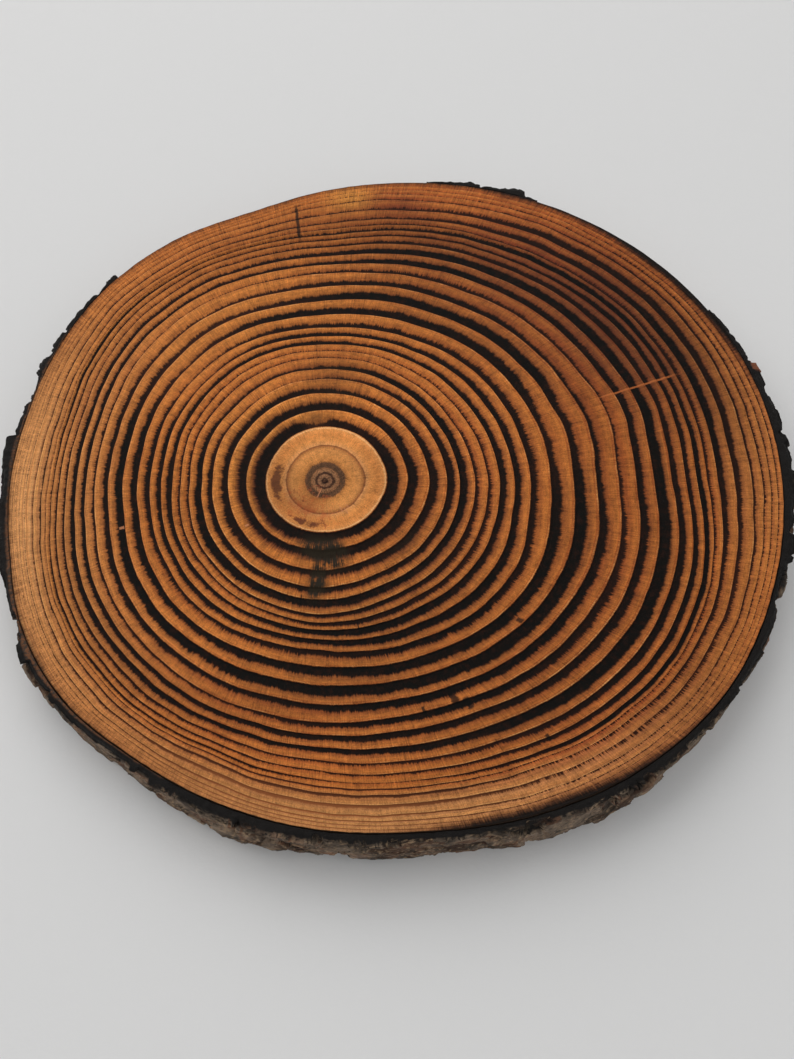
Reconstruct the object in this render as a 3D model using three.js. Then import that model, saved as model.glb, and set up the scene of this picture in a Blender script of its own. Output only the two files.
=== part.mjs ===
import * as THREE from 'three';

// A slice sawn across a conifer trunk, with strips of bark left on its edge, lying flat.
// Millimetres, +Z up, +X right and +Y away from the viewer. The origin is the middle of the
// slice's box on the surface that it lies on. Angles are degrees, counter-clockwise from +X
// round the pith, which is well off the middle of the slice.

// Driving dimensions
const THICKNESS = 15;
const PITH = { x: -17.3, y: -7.3 };
const EDGE_ROUNDING = 0.5;
const BARK_GAP = 0.3;

// Distance from the pith to a few of the year rings, at even steps of angle from 0
const RING_2 = [19.1, 19.2, 19.9, 20.3, 19.9, 18.9, 18.4, 18.2, 18.1, 18, 18.2, 18.4];
const RING_6 = [35, 34.5, 35.1, 36, 35.4, 33.5, 31.5, 32.3, 33, 33.6, 33.5, 34.7];
const RING_10 = [47.9, 48.2, 47.1, 45.6, 45.7, 43.3, 40.6, 41.1, 41.9, 42.4, 45.5, 48.6];
const RING_14 = [
  68.8, 70.2, 69.5, 68.7, 67, 65.8, 63.8, 63.1, 62.9, 60.8, 57.9, 55.1,
  53.7, 53.6, 54.6, 55.4, 56.2, 57.1, 58.2, 59.5, 61.8, 65.3, 67.8, 69.2,
];
const RING_19 = [
  87.1, 88.4, 88.7, 86.9, 84.5, 81.2, 77.3, 76, 75.1, 72.6, 68.7, 64.9,
  63.4, 63.9, 65, 65.8, 66.4, 67.5, 70.1, 72.9, 77.3, 82.9, 87, 88.4,
];
const WOOD_EDGE = [
  107.2, 109.2, 109.6, 107.6, 104.6, 100, 94.7, 88.6, 86.6, 83.2, 78.6, 74.6,
  73.2, 72.6, 73.6, 74.8, 75, 77.1, 80, 83.6, 89.4, 95.6, 100.9, 104.2,
];

// The rings between those, each as its share of the way from one to the next
const RING_STEPS = [
  { from: [0], to: RING_2, shares: [0.755, 1] },
  { from: RING_2, to: RING_6, shares: [0.32, 0.59, 0.78, 1] },
  { from: RING_6, to: RING_10, shares: [0.23, 0.44, 0.71, 1] },
  { from: RING_10, to: RING_14, shares: [0.23, 0.49, 0.755, 1] },
  { from: RING_14, to: RING_19, shares: [0.225, 0.455, 0.685, 0.86, 1] },
  { from: RING_19, to: WOOD_EDGE, shares: [0.24, 0.43, 0.63] },
];

// Relief on the top face: each soft early band is burnt and brushed out below the hard late one
const GROOVE_DEPTH = 0.4;
const GROOVE_WALL = 0.25;
const GROOVE_SHARE = 0.5;
const WOOD_SPOKES = 72;

// Bark thickness along each strip, as [angle, thickness]
const MAIN_BARK = [
  [132, 1.7], [145, 1.8], [157.5, 2.1], [159.5, 1.3], [169.5, 1.4], [171, 2.9], [180, 3.2],
  [195, 2.8], [208, 2.2], [214, 2.8], [218, 2.2], [232, 2.1], [240, 2.3], [255, 2.8],
  [270, 2.4], [285, 2.3], [300, 2.9], [315, 2.4], [330, 2.1], [345, 1.6], [352, 2.4],
  [358, 3.1], [365, 3.4], [367.5, 1.8], [368.5, 2.2], [386.5, 1.2], [388, 0.8],
];
const BACK_BARK = [[58.5, 0.8], [60.5, 1], [61, 2.7], [66, 2.3], [74.5, 1.5], [75.5, 1]];
const BARK_STATION = 1.5;
const BARK_ROWS = [0, 2.5, 5, 7.5, 10, 12.5, 14.6];
const BARK_BURNT_DOWN = 0.35;

// Bark plates: scales about this wide and high, each lifted unevenly and hanging out at its
// lower edge like a shingle, with cracks between them. The whole face curves back above and below.
const PLATE_WIDTH = 11;
const PLATE_HEIGHT = 7.5;
const PLATE_LIFT = 0.6;
const PLATE_HANG = 0.5;
const CRACK_WIDTH = 1.3;
const CRACK_DEPTH = 0.6;
const FACE_CURVE = 0.5;
const THINNEST_BARK = 0.6;

const radians = (degrees) => (degrees * Math.PI) / 180;
const mix = (a, b, share) => a + (b - a) * share;

// A value between 0 and 1 that is always the same for the same two whole numbers
function scatter(column, row) {
  const wave = Math.sin(column * 127.1 + row * 311.7) * 43758.5453;
  return wave - Math.floor(wave);
}

// Value at an angle on a smooth closed curve through evenly spaced values
function around(values, degrees) {
  const count = values.length;
  const place = (((degrees % 360) + 360) % 360) / 360 * count;
  const first = Math.floor(place);
  const t = place - first;
  const [a, b, c, d] = [-1, 0, 1, 2].map((step) => values[(first + step + count) % count]);
  return b + 0.5 * t * (c - a + t * (2 * a - 5 * b + 4 * c - d + t * (3 * (b - c) + d - a)));
}

// Value at an angle on straight lines through [angle, value] pairs
function along(pairs, degrees) {
  const next = pairs.findIndex(([angle]) => angle >= degrees);
  if (next <= 0) return pairs[Math.max(next, 0)][1];
  const [[a0, v0], [a1, v1]] = [pairs[next - 1], pairs[next]];
  return mix(v0, v1, (degrees - a0) / (a1 - a0));
}

function ringRadii(degrees) {
  const radii = [];
  for (const { from, to, shares } of RING_STEPS) {
    const inner = around(from, degrees);
    const outer = around(to, degrees);
    shares.forEach((share) => radii.push(mix(inner, outer, share)));
  }
  return radii;
}

function point(degrees, radius, z) {
  const turn = radians(degrees);
  return [PITH.x + radius * Math.cos(turn), PITH.y + radius * Math.sin(turn), z];
}

// Cross-section of the wood on one spoke, as [radius, z] from the pith out, down and back in
function woodSpoke(degrees) {
  const edge = around(WOOD_EDGE, degrees);
  const rings = ringRadii(degrees);
  const section = [];
  rings.forEach((radius, index) => {
    const next = rings[index + 1] ?? edge;
    section.push([radius, THICKNESS]);
    section.push([radius + GROOVE_WALL, THICKNESS - GROOVE_DEPTH]);
    section.push([mix(radius, next, GROOVE_SHARE), THICKNESS]);
  });
  section.push([edge - EDGE_ROUNDING, THICKNESS]);
  section.push([edge, THICKNESS - EDGE_ROUNDING]);
  section.push([edge, 0]);
  return section;
}

function solid(points, triangles) {
  const geometry = new THREE.BufferGeometry();
  geometry.setAttribute('position', new THREE.Float32BufferAttribute(points.flat(), 3));
  geometry.setIndex(triangles.flat());
  geometry.computeVertexNormals();
  return geometry;
}

// Two triangles for each cell between neighbouring sections, wrapping round as asked
function quads(sections, rows, closedSections, closedRows) {
  const triangles = [];
  const lastSection = closedSections ? sections : sections - 1;
  const lastRow = closedRows ? rows : rows - 1;
  for (let i = 0; i < lastSection; i += 1) {
    for (let j = 0; j < lastRow; j += 1) {
      const [i1, j1] = [(i + 1) % sections, (j + 1) % rows];
      const [a, b, c, d] = [i * rows + j, i * rows + j1, i1 * rows + j1, i1 * rows + j];
      triangles.push([a, b, c], [a, c, d]);
    }
  }
  return triangles;
}

function woodDisc() {
  const points = [];
  let rows = 0;
  for (let spoke = 0; spoke < WOOD_SPOKES; spoke += 1) {
    const degrees = (spoke * 360) / WOOD_SPOKES;
    const section = woodSpoke(degrees);
    rows = section.length;
    section.forEach(([radius, z]) => points.push(point(degrees, radius, z)));
  }
  const triangles = quads(WOOD_SPOKES, rows, true, false);
  const top = points.push(point(0, 0, THICKNESS)) - 1;
  const bottom = points.push(point(0, 0, 0)) - 1;
  for (let spoke = 0; spoke < WOOD_SPOKES; spoke += 1) {
    const here = spoke * rows;
    const next = ((spoke + 1) % WOOD_SPOKES) * rows;
    triangles.push([top, here, next]);
    triangles.push([bottom, next + rows - 1, here + rows - 1]);
  }
  return solid(points, triangles);
}

// How far the bark's surface stands in or out at a place along the edge and a height
function plateRelief(edgeLength, z) {
  let nearest = { distance: Infinity };
  let second = Infinity;
  const column = Math.floor(edgeLength / PLATE_WIDTH);
  const row = Math.floor(z / PLATE_HEIGHT);
  for (let i = column - 1; i <= column + 1; i += 1) {
    for (let j = row - 1; j <= row + 1; j += 1) {
      const across = (i + 0.2 + 0.6 * scatter(i, j)) * PLATE_WIDTH - edgeLength;
      const up = (j + 0.2 + 0.6 * scatter(i + 57, j)) * PLATE_HEIGHT - z;
      const distance = Math.hypot(across, up);
      if (distance < nearest.distance) {
        second = nearest.distance;
        nearest = { distance, up, lift: scatter(i, j + 31) - 0.75 };
      } else {
        second = Math.min(second, distance);
      }
    }
  }
  const crack = Math.max(0, 1 - (second - nearest.distance) / CRACK_WIDTH);
  const hang = (PLATE_HANG * nearest.up) / PLATE_HEIGHT;
  const curve = FACE_CURVE * (z / (THICKNESS / 2) - 1) ** 2;
  return PLATE_LIFT * nearest.lift + hang - CRACK_DEPTH * crack - curve;
}

// Cross-section of a bark strip at an angle: up its outer face, then its top and bottom inner edges
function barkSection(strip, degrees) {
  const inner = around(WOOD_EDGE, degrees) + BARK_GAP;
  const thickness = along(strip, degrees);
  const edgeLength = radians(degrees) * inner;
  const top = THICKNESS - BARK_BURNT_DOWN * scatter(Math.round(degrees / BARK_STATION), 7);
  const section = BARK_ROWS.map((z, row) => {
    const relief = plateRelief(edgeLength, z) * Math.min(1, thickness / 2.5);
    const height = row === BARK_ROWS.length - 1 ? top : z;
    return [inner + Math.max(THINNEST_BARK, thickness + relief), height];
  });
  section.push([inner, top], [inner, 0]);
  return section;
}

function barkStrip(strip) {
  const start = strip[0][0];
  const end = strip[strip.length - 1][0];
  const stations = Math.round((end - start) / BARK_STATION) + 1;
  const points = [];
  const rows = BARK_ROWS.length + 2;
  for (let station = 0; station < stations; station += 1) {
    const degrees = mix(start, end, station / (stations - 1));
    barkSection(strip, degrees).forEach(([radius, z]) => points.push(point(degrees, radius, z)));
  }
  const triangles = quads(stations, rows, false, true).map(([a, b, c]) => [a, c, b]);
  const last = (stations - 1) * rows;
  const hub = rows - 1;
  for (let row = 0; row < rows - 2; row += 1) {
    triangles.push([hub, row, row + 1]);
    triangles.push([last + hub, last + row + 1, last + row]);
  }
  return solid(points, triangles);
}

function piece(name, geometry, material) {
  const mesh = new THREE.Mesh(geometry, material);
  mesh.name = name;
  return mesh;
}

const torchedWood = new THREE.MeshStandardMaterial({ color: 0xb06a34, roughness: 0.55, metalness: 0 });
const charredBark = new THREE.MeshStandardMaterial({ color: 0x3a302a, roughness: 0.9, metalness: 0 });

const slice = new THREE.Group();
slice.add(piece('wood_disc', woodDisc(), torchedWood));
slice.add(piece('bark_main', barkStrip(MAIN_BARK), charredBark));
slice.add(piece('bark_patch_back', barkStrip(BACK_BARK), charredBark));

export default slice;
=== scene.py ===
"""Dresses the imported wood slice: a torched conifer disc with bark strips, on a pale floor.

Millimetres in the tables and shape functions, metres in the meshes. Angles are degrees,
counter-clockwise from +X round the pith, and radii are from the pith.
"""

import math
from types import SimpleNamespace

import bpy
import numpy as np
from bpy.props import FloatProperty, FloatVectorProperty, PointerProperty
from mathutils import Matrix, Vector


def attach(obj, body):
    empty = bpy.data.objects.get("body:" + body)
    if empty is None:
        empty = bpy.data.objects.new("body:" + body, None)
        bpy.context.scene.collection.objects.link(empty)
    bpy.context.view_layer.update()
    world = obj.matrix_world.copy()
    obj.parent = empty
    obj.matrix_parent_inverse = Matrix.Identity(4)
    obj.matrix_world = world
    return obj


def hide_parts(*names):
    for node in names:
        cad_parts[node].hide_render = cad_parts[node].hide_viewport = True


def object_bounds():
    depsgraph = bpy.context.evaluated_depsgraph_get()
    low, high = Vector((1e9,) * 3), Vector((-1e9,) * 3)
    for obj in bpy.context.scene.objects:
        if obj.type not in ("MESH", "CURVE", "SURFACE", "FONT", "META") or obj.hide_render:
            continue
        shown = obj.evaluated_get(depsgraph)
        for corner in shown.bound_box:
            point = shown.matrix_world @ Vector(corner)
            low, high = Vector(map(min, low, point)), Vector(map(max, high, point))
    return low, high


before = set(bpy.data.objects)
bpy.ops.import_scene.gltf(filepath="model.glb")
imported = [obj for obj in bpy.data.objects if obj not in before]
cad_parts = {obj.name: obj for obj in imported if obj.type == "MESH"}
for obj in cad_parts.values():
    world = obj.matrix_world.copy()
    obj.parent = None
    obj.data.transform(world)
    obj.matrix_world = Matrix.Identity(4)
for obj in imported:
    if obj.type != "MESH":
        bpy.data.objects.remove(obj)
CAD_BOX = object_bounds()

bl_info = {
    "name": "Torched Wood Slice",
    "version": (1, 0, 0),
    "blender": (4, 5, 0),
    "location": "View3D > Sidebar > Wood Slice",
    "description": "Builds a torched wood slice with relief year rings and strips of bark",
    "category": "Add Mesh",
}

# Driving dimensions, as in the part's source
MM = 0.001
THICKNESS = 15.0
PITH = (-17.3, -7.3)
EDGE_ROUNDING = 0.5
BARK_GAP = 0.3

# Distance from the pith to a few of the year rings, at even steps of angle from 0
RING_2 = [19.1, 19.2, 19.9, 20.3, 19.9, 18.9, 18.4, 18.2, 18.1, 18, 18.2, 18.4]
RING_6 = [35, 34.5, 35.1, 36, 35.4, 33.5, 31.5, 32.3, 33, 33.6, 33.5, 34.7]
RING_10 = [47.9, 48.2, 47.1, 45.6, 45.7, 43.3, 40.6, 41.1, 41.9, 42.4, 45.5, 48.6]
RING_14 = [
    68.8, 70.2, 69.5, 68.7, 67, 65.8, 63.8, 63.1, 62.9, 60.8, 57.9, 55.1,
    53.7, 53.6, 54.6, 55.4, 56.2, 57.1, 58.2, 59.5, 61.8, 65.3, 67.8, 69.2,
]
RING_19 = [
    87.1, 88.4, 88.7, 86.9, 84.5, 81.2, 77.3, 76, 75.1, 72.6, 68.7, 64.9,
    63.4, 63.9, 65, 65.8, 66.4, 67.5, 70.1, 72.9, 77.3, 82.9, 87, 88.4,
]
WOOD_EDGE = [
    107.2, 109.2, 109.6, 107.6, 104.6, 100, 94.7, 88.6, 86.6, 83.2, 78.6, 74.6,
    73.2, 72.6, 73.6, 74.8, 75, 77.1, 80, 83.6, 89.4, 95.6, 100.9, 104.2,
]

# The rings between those, each as its share of the way from one to the next
RING_STEPS = [
    ([0], RING_2, [0.755, 1]),
    (RING_2, RING_6, [0.32, 0.59, 0.78, 1]),
    (RING_6, RING_10, [0.23, 0.44, 0.71, 1]),
    (RING_10, RING_14, [0.23, 0.49, 0.755, 1]),
    (RING_14, RING_19, [0.225, 0.455, 0.685, 0.86, 1]),
    (RING_19, WOOD_EDGE, [0.12, 0.24, 0.43, 0.63, 0.75, 0.84, 0.92, 1]),
]
RING_COUNT = 27

# For each ring, from the pith out: how much of its width is burnt dark, how black that is,
# and how far it is broken into dots
BURNT_SHARE = [
    0, 0.6, 0.48, 0.45, 0.52, 0.55, 0.34, 0.37, 0.43, 0.46, 0.42, 0.5, 0.54, 0.44,
    0.33, 0.47, 0.52, 0.38, 0.37, 0.42, 0.22, 0.24, 0.26, 0.24, 0.2, 0.14, 0.12, 0,
]
BURNT_BLACK = [
    0, 0.97, 0.95, 0.92, 0.92, 0.98, 0.82, 0.78, 0.94, 0.95, 0.9, 0.97, 1, 0.94,
    0.8, 0.95, 0.96, 0.82, 0.82, 0.85, 0.6, 0.75, 0.65, 0.6, 0.55, 0.45, 0.4, 0,
]
BURNT_BROKEN = [
    0, 0, 0.05, 0.1, 0.1, 0.05, 0.3, 0.35, 0.1, 0.1, 0.2, 0.05, 0, 0.1,
    0.3, 0.1, 0.1, 0.3, 0.3, 0.35, 0.7, 0.35, 0.4, 0.5, 0.8, 0.9, 0.9, 0,
]

# Where the burning changes round the slice: first and last ring, middle angle, half width in
# degrees, and what it adds to the share, the blackness and the breaks
BURN_ZONES = [
    (1, 1, 62, 45, -0.14, -0.1, 0.1),
    (1, 1, 99, 16, -0.32, -0.3, 0.3),
    (1, 1, 150, 40, 0.06, 0, 0),
    (1, 1, 285, 50, -0.12, 0, 0),
    (2, 2, 245, 55, -0.14, 0, 0),
    (2, 2, 325, 40, 0.06, 0, 0),
    (3, 3, 75, 32, -0.14, 0, 0.1),
    (3, 3, 262, 45, -0.1, 0, 0),
    (4, 4, 115, 72, -0.44, -0.45, 0.3),
    (4, 4, 290, 70, -0.1, 0, 0),
    (4, 4, 5, 28, 0.16, 0, 0),
    (5, 5, 118, 66, -0.34, -0.15, 0.1),
    (5, 5, 218, 34, 0.14, 0, 0),
    (5, 5, 320, 40, -0.08, 0, 0),
    (6, 7, 85, 100, -0.14, -0.38, 0.3),
    (6, 6, 295, 65, 0.1, 0.12, -0.2),
    (7, 7, 290, 50, 0.2, 0.15, -0.2),
    (8, 8, 185, 25, 0.2, 0, 0),
    (8, 8, 285, 50, 0.2, 0.1, 0),
    (8, 8, 5, 35, 0.08, 0, 0),
    (8, 9, 100, 25, 0.08, 0, 0),
    (9, 9, 300, 50, 0.12, 0.1, 0),
    (9, 11, 135, 30, -0.26, -0.3, 0.2),
    (10, 10, 225, 35, -0.12, 0, 0.1),
    (10, 10, 305, 40, 0.06, 0.1, 0),
    (11, 12, 14, 22, -0.2, -0.1, 0.1),
    (11, 11, 45, 30, 0.08, 0, 0),
    (11, 11, 225, 25, -0.08, 0, 0),
    (12, 14, 125, 45, -0.2, -0.35, 0.2),
    (11, 13, 305, 50, 0.1, 0.1, 0),
    (13, 13, 22, 45, -0.22, 0, 0),
    (13, 13, 255, 40, -0.1, 0, 0),
    (14, 14, 300, 60, 0.17, 0.2, -0.2),
    (14, 14, 15, 40, -0.14, 0, 0),
    (14, 14, 72, 30, 0.12, 0.05, 0),
    (14, 14, 245, 25, -0.1, 0, 0),
    (15, 16, 120, 45, -0.06, -0.1, 0.1),
    (15, 16, 68, 30, 0.12, 0.05, -0.1),
    (16, 16, 262, 38, -0.14, 0, 0),
    (16, 19, 30, 55, 0.1, 0.1, -0.25),
    (16, 19, 335, 45, 0.15, 0.15, -0.3),
    (17, 18, 75, 30, 0.08, 0.05, -0.1),
    (17, 17, 140, 50, -0.08, -0.2, 0.3),
    (17, 18, 270, 40, -0.12, -0.1, 0.1),
    (19, 19, 335, 45, 0.06, 0.1, -0.3),
    (19, 19, 282, 24, -0.3, -0.2, 0.2),
    (19, 19, 187, 16, -0.15, -0.1, 0.1),
    (19, 19, 148, 34, 0.22, 0.1, -0.2),
    (19, 19, 48, 45, 0.16, 0.05, -0.1),
    (19, 19, 222, 26, 0.1, 0.05, -0.1),
    (20, 26, 266, 42, 0.07, -0.3, -0.9),
    (20, 26, 20, 55, 0.2, 0.25, -0.4),
    (20, 26, 314, 26, 0, 0.1, 0.55),
    (21, 21, 35, 60, 0.14, 0, -0.1),
    (22, 22, 48, 34, 0.16, 0.1, -0.1),
    (23, 23, 12, 30, -0.16, 0, 0),
    (24, 24, 48, 30, 0.12, 0.1, 0),
    (22, 24, 185, 45, -0.12, -0.1, 0.1),
    (20, 20, 75, 30, 0.12, 0.2, -0.3),
    (18, 18, 30, 50, -0.06, 0, 0),
    (3, 3, 0, 26, 0.1, 0, 0),
    (3, 3, 210, 26, 0.15, 0, 0),
    (6, 6, 332, 30, 0.14, 0, 0),
    (7, 7, 240, 26, -0.14, 0, 0),
    (7, 7, 335, 28, 0.12, 0, 0),
    (8, 8, 240, 22, -0.08, 0, 0),
    (10, 10, 180, 24, 0.15, 0.05, 0),
    (14, 14, 335, 26, 0.12, 0, 0),
    (17, 17, 50, 36, 0.1, 0, 0),
    (18, 18, 30, 30, 0.22, 0.05, 0),
    (19, 19, 62, 30, 0.18, 0.05, 0),
    (19, 19, 92, 22, 0.14, 0.1, 0),
    (19, 19, 138, 34, 0.16, 0.05, 0),
    (19, 19, 210, 22, 0.1, 0, 0),
    (19, 19, 304, 22, 0.14, 0, 0),
    (20, 20, 30, 30, 0.14, 0, 0),
    (20, 20, 335, 26, 0.1, 0, 0),
    (21, 22, 62, 28, 0.16, 0.05, 0),
    (21, 22, 332, 26, 0.1, 0, 0),
]

# Where the wood of the face is lighter or darker: radius, angle, half length, half angle
# and the change
SHADE_ZONES = [
    (40, 285, 22, 85, -0.3), (36, 200, 12, 40, -0.18), (78, 85, 17, 50, -0.3), (60, 222, 14, 50, -0.26),
    (72, 305, 14, 40, -0.22), (80, 350, 14, 30, -0.18), (98, 22, 17, 45, -0.34), (95, 335, 14, 35, -0.24),
    (75, 262, 8, 35, -0.16), (55, 262, 12, 40, -0.15), (60, 70, 16, 30, -0.2), (8, 95, 13, 75, 0.22),
    (9, 305, 11, 60, 0.2), (21, 65, 9, 40, 0.32), (70, 185, 6, 40, 0.2), (24, 110, 8, 50, 0.1),
    (20, 320, 10, 40, -0.1), (86, 32, 15, 48, -0.26), (68, 15, 16, 45, -0.12), (62, 320, 16, 40, -0.1),
    (45, 245, 12, 40, 0.16), (54, 225, 10, 40, 0.16), (74, 120, 9, 40, -0.14), (76, 242, 8, 30, -0.1),
    (82, 277, 8, 25, -0.08), (92, 352, 8, 25, 0.1), (18, 190, 5, 110, -0.18), (9, 195, 9, 75, -0.22),
    (22, 270, 8, 50, 0.12), (30, 330, 9, 30, -0.08), (100, 318, 9, 24, -0.1), (77, 158, 5, 18, -0.18),
    (84, 186, 10, 40, 0.08), (100, 28, 10, 35, -0.15), (84, 75, 9, 26, -0.1), (67, 150, 8, 25, -0.08),
    (90, 326, 12, 22, -0.08),
]

# Patches of the face that are deeper red, smoky, sooty, scorched brown, golden, split by fine
# checks or singed beyond the bands: amount, radius, angle, half length and half angle
FACE_PATCHES = {
    "deep": [
        (0.75, 84, 42, 42, 62), (0.45, 72, 330, 40, 60), (0.25, 30, 0, 30, 90), (0.35, 62, 165, 10, 50),
        (0.35, 60, 265, 18, 60), (-0.1, 101, 12, 8, 30), (0.55, 90, 79, 9, 9), (-0.4, 91, 88, 9, 7),
        (0.6, 8, 240, 9, 90), (0.35, 88, 312, 18, 28), (0.25, 92, 40, 20, 34),
    ],
    "smoke": [
        (0.6, 86, 34, 20, 36), (0.35, 91, 79, 8, 8), (0.3, 68, 38, 24, 40), (0.3, 104, 61, 6, 6),
        (0.25, 78, 66, 20, 30), (0.2, 62, 352, 16, 24),
    ],
    "soot": [
        (0.4, 30, 88, 13, 26), (1.5, 20.5, 279, 4.5, 11), (1.3, 17, 268, 4, 26), (1.1, 25, 269, 7, 9),
        (0.5, 20, 262, 6, 14), (0.6, 18, 98, 3, 16), (0.4, 25, 318, 4, 18), (0.7, 19, 276, 5.5, 17),
        (0.9, 28, 267, 5, 6),
    ],
    "scorch": [
        (1, 11.4, 182, 2.4, 50), (0.6, 12.2, 246, 1.6, 34), (0.5, 7.4, 212, 1.8, 60),
        (0.45, 11, 262, 2.4, 40),
    ],
    "golden": [
        (1, 91, 87, 8, 7), (0.5, 70, 180, 25, 60), (0.6, 19, 150, 18, 120), (0.4, 55, 120, 20, 60),
    ],
    "checked": [(0.9, 31, 260, 12, 110), (0.8, 74, 306, 20, 44)],
    "smoulder": [(0.55, 18, 195, 10, 140), (0.4, 32, 300, 24, 120), (0.3, 30, 120, 16, 90)],
}
DEEP_ALL_OVER = 0.12

# Marks by ring and angle, as the rings over which they set in and the amount, angle and half
# angle: pale sapwood, its faint inner part, and the outer rings whose year lines are unburnt
SAP_RINGS = (19.5, 23)
SAP_SIDES = [(0.75, 280, 75), (0.55, 190, 60), (0.2, 5, 35)]
INNER_SAP_RINGS = (10, 16)
INNER_SAP_SIDES = [(0.3, 185, 75)]
UNBURNT_RINGS = (20.5, 23)
UNBURNT_SIDES = [(1, 268, 44)]

# Screen colours of the bare middle, by distance from the pith as a share of CORE_REACH, with
# CORE_RADIUS as the radius of ring 1 all round
CORE_RADIUS = 14.2
CORE_REACH = 16.0
CORE_TINTS = [
    (0.0, (44, 22, 14)), (0.035, (50, 26, 16)), (0.055, (132, 92, 64)), (0.095, (146, 102, 72)),
    (0.112, (72, 44, 30)), (0.132, (78, 48, 32)), (0.155, (150, 106, 72)), (0.2, (144, 96, 62)),
    (0.218, (88, 60, 40)), (0.288, (96, 65, 43)), (0.312, (176, 112, 58)), (0.375, (204, 134, 70)),
    (0.5, (210, 140, 76)), (0.55, (176, 112, 60)), (0.574, (130, 76, 42)), (0.59, (212, 144, 86)),
    # The pale stop at 0.868 is a painted highlight on the crest of the late wood just before band 1
    (0.66, (214, 140, 74)), (0.76, (206, 130, 66)), (0.85, (214, 140, 76)), (0.868, (236, 176, 116)),
    (0.89, (216, 144, 84)),
]

# Noises of the face: scale per mm, detail and roughness
BLOTS = (0.9, 4.0, 0.65)
MOTTLE = (0.11, 5.0, 0.6)
SPECKLE = (4.5, 2.0, 0.6)
GRIT = (3.0, 3.0, 0.6)
DUST = (0.6, 4.0, 0.75)
SOOT_CLOUDS = (0.35, 4.0, 0.65)

# Height of each surface's fine grain, in metres
FACE_BUMP, EDGE_BUMP, UNDERSIDE_BUMP, BARK_BUMP, FLOOR_BUMP = 0.00014, 0.0003, 0.0001, 0.0004, 0.00004

# Noises round the pith, in waves to a radian: hairlines near and far, teeth and drips on the
# outer side of the bands, their sway, streaks across the rings, checks and the grain of the edge
HAIRLINES = (90, 300)
TEETH, DRIPS, SWAY, STREAKS, CHECKS, EDGE_GRAIN = 210, 70, 14, 9, 34, 160

# Change in mm to how far the charred rim reaches in from the edge, at even steps of angle
RIM_CHAR = [-2.4, 1.9, 0.8, 0.2, 0.1, -0.3, -0.6, 0.2, -0.6, -2.0, 1.5, -0.8]

# How far the wood reaches beyond its edge in the source, at even steps of angle, and how much
# of the bark's outline is trimmed off or added, as [angle, change]
EDGE_REACH = [
    0, 0, 0.3, 0.8, 0.6, 0.4, 0.2, 0.5, 0.4, 0.3, 0.4, 0.8,
    0.5, 0.4, 1, 0.7, 0.5, 0.3, 0.2, 0, 0, 0, 0, 0,
]
BARK_TRIM = [
    [58, 0.8], [64, 0.9], [68, 0.3], [76, 0.3], [132, 0.3], [148, 0.2], [154, 0.8], [162, 0.6],
    [168, 0.5], [172, 1.2], [180, 0.2], [196, 0], [202, -0.5], [208, 0], [218, 0.7], [224, 0],
    [236, -0.5], [250, -0.2], [262, 0.2], [270, -0.6], [278, -0.2], [286, -0.7], [296, -0.9],
    [304, -0.3], [314, 0], [320, -0.8], [332, -0.8], [338, 0.2], [346, 0.2], [352, -0.3],
    [365, 0.4], [370, 0.3], [384, 0.2], [388, 0],
]

# Small marks along spokes of the face: angle, start and end radius, half width
DARK_MARKS = [
    (97, 75, 90, 0.45), (298.5, 57, 63.5, 0.8), (300.5, 61, 64.5, 0.7), (321, 55.2, 57, 0.6),
    (308, 77, 79, 0.5), (292, 59, 61, 0.4), (262, 29, 33, 0.16), (283, 36, 40, 0.16),
]
PALE_MARKS = [
    (195, 46.9, 48.3, 0.4), (250, 1.8, 5, 0.16), (298, 7.6, 9.6, 0.14), (303, 8.2, 10.6, 0.12),
    (309, 7.9, 9.4, 0.12), (214, 20.4, 21.6, 0.25),
]
RAY_MARKS = [(19.8, 68.5, 93, 0.28)]

# Bark thickness along each strip, as [angle, thickness]
MAIN_BARK = [
    [132, 1.7], [145, 1.8], [157.5, 2.1], [159.5, 1.3], [169.5, 1.4], [171, 2.9], [180, 3.2],
    [195, 2.8], [208, 2.2], [214, 2.8], [218, 2.2], [232, 2.1], [240, 2.3], [255, 2.8],
    [270, 2.4], [285, 2.3], [300, 2.9], [315, 2.4], [330, 2.1], [345, 1.6], [352, 2.4],
    [358, 3.1], [365, 3.4], [367.5, 1.8], [368.5, 2.2], [386.5, 1.2], [388, 0.8],
]
BACK_BARK = [[58.5, 0.8], [60.5, 1], [61, 2.7], [66, 2.3], [74.5, 1.5], [75.5, 1]]

# Bark plates: width, height and level of each layer of thick plates, the deepest first, and the
# width, height and lift of the thin flakes on them
PLATE_LAYERS = [(11, 7, -1.0), (21, 10, -0.7), (15, 8, -0.3), (17, 6.5, 0.15), (10, 4.5, 0.5)]
FLAKE_WIDTH = 6.5
FLAKE_HEIGHT = 2.4
FLAKE_LIFT = 0.13
FACE_CURVE = 0.5

# Camera, as placed for the photograph
CAMERA_PLACE = (-0.00043, -0.13363, 0.224)
CAMERA_TILT = 28.49
CAMERA_LENS = 35.49

# Stage, in metres: reach of the floor, its flat part and its rise, the lights as name, place,
# size and tint, and the light of the room
FLOOR_REACH = 10
FLOOR_POINTS = 101
FLOOR_FLAT = 3
FLOOR_RISE = 0.15
LIGHTS = [
    ("window", (-0.6, 0.8, 1.0), 1.8, (1.0, 0.99, 0.97)),
    ("fill", (0.7, -0.8, 1.0), 1.5, (0.96, 0.98, 1.0)),
]
ROOM_TINT = (1.0, 1.0, 0.98, 1)
ROOM_STRENGTH = 0.54


def light_values(red, green, blue):
    """Linear colour of a 0 to 255 screen colour."""
    shares = [channel / 255 for channel in (red, green, blue)]
    return tuple(s / 12.92 if s <= 0.04045 else ((s + 0.055) / 1.055) ** 2.4 for s in shares)


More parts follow.
